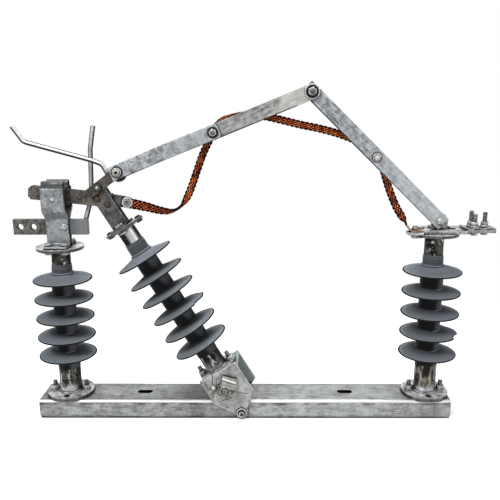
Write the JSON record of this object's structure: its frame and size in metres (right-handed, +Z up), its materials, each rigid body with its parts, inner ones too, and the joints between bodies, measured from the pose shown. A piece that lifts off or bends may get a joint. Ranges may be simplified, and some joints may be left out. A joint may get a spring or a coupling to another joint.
{
  "type": "substation disconnect switch",
  "caption": "Open-air line disconnector: a rocking post insulator swings a contact blade out of a jaw and folds two link arms joined by a flexible copper braid.",
  "frame": {"origin": "middle of the underside of the base channel", "axes": "+X along the channel towards the end with the clamped terminal, +Y to the back, away from the side with the pivot bolt head, +Z up"},
  "size_m": [0.8175, 0.1145, 0.5797],
  "materials": {
    "galvanised": "hot-dip zinc, spangled, scuffed and stained",
    "silicone": "satin grey silicone, dusty",
    "copper_braid": "woven bare copper, tarnished",
    "horn_rod": "zinc-coated rod, streaked",
    "tinned_copper": "pressed and tinned, dull",
    "contact_metal": "plated, rubbed and darkened",
    "fasteners": "zinc-coated, rust in the threads",
    "dull_steel": "dark steel with brown staining"
  },
  "bodies": {
    "base": {"anchor_bolt": "fasteners", "base_channel": "galvanised", "braid_ferrule": "tinned_copper", "fixed_horn": "horn_rod", "jaw_back_finger": "contact_metal", "jaw_back_plate": "galvanised", "jaw_bolts": "fasteners", "jaw_front_finger": "contact_metal", "jaw_front_plate": "galvanised", "left_column_bolts": "fasteners", "left_insulator_base": "galvanised", "left_insulator_body": "silicone", "left_insulator_cap": "galvanised", "left_terminal_bar": "galvanised", "pivot_bolt": "fasteners", "right_braid_bolt": "fasteners", "right_clamp_plate": "contact_metal", "right_column_bolts": "fasteners", "right_insulator_base": "galvanised", "right_insulator_body": "silicone", "right_insulator_cap": "galvanised", "right_pivot_lug": "galvanised", "right_terminal_bolts": "fasteners", "right_terminal_plate": "galvanised"},
    "rocker": {"rocker_bracket": "galvanised", "rocker_insulator_base": "galvanised", "rocker_insulator_body": "silicone", "rocker_insulator_cap": "galvanised", "rocker_column_bolts": "fasteners", "head_front_cheek": "galvanised", "head_back_cheek": "galvanised", "head_bolts": "fasteners", "cross_strap": "dull_steel", "contact_blade": "contact_metal", "braid_lug": "contact_metal", "moving_horn": "horn_rod", "drive_shaft": "dull_steel", "shaft_clamp": "galvanised", "arm_pin_bolt": "fasteners", "braid_rocker": "copper_braid"},
    "upper_arm": {"upper_arm_strap": "galvanised", "upper_arm_bar": "galvanised", "upper_arm_bolts": "fasteners"},
    "knee": {"knee_bolt": "fasteners", "braid_middle": "copper_braid"},
    "lower_arm": {"lower_arm": "galvanised", "lower_arm_bolts": "fasteners", "braid_terminal": "copper_braid"}
  },
  "joints": [
    {"name": "rocker_pivot", "type": "hinge", "parent": "base", "child": "rocker", "pos_m": [-0.005, 0, 0.013], "axis": [0, 1, 0], "range_deg": [0, 40]},
    {"name": "arm_pin", "type": "hinge", "parent": "rocker", "child": "upper_arm", "pos_m": [-0.20781, 0, 0.43596], "axis": [0, 1, 0], "range_deg": [-52, 2], "deforming": ["braid_rocker"]},
    {"name": "knee", "type": "hinge", "parent": "upper_arm", "child": "knee", "pos_m": [0.11066, 0, 0.56334], "axis": [0, 1, 0], "range_deg": [-2, 73], "deforming": ["braid_middle"]},
    {"name": "anchor_pin", "type": "hinge", "parent": "base", "child": "lower_arm", "pos_m": [0.331, 0, 0.351], "axis": [0, 1, 0], "range_deg": [-2, 63], "deforming": ["braid_terminal"]}
  ],
  "couplings": [
    {"joint": "arm_pin", "follows": "rocker_pivot", "ratio": -1.2517},
    {"joint": "knee", "follows": "rocker_pivot", "ratio": 1.7425},
    {"joint": "anchor_pin", "follows": "rocker_pivot", "ratio": 1.4908}
  ]
}
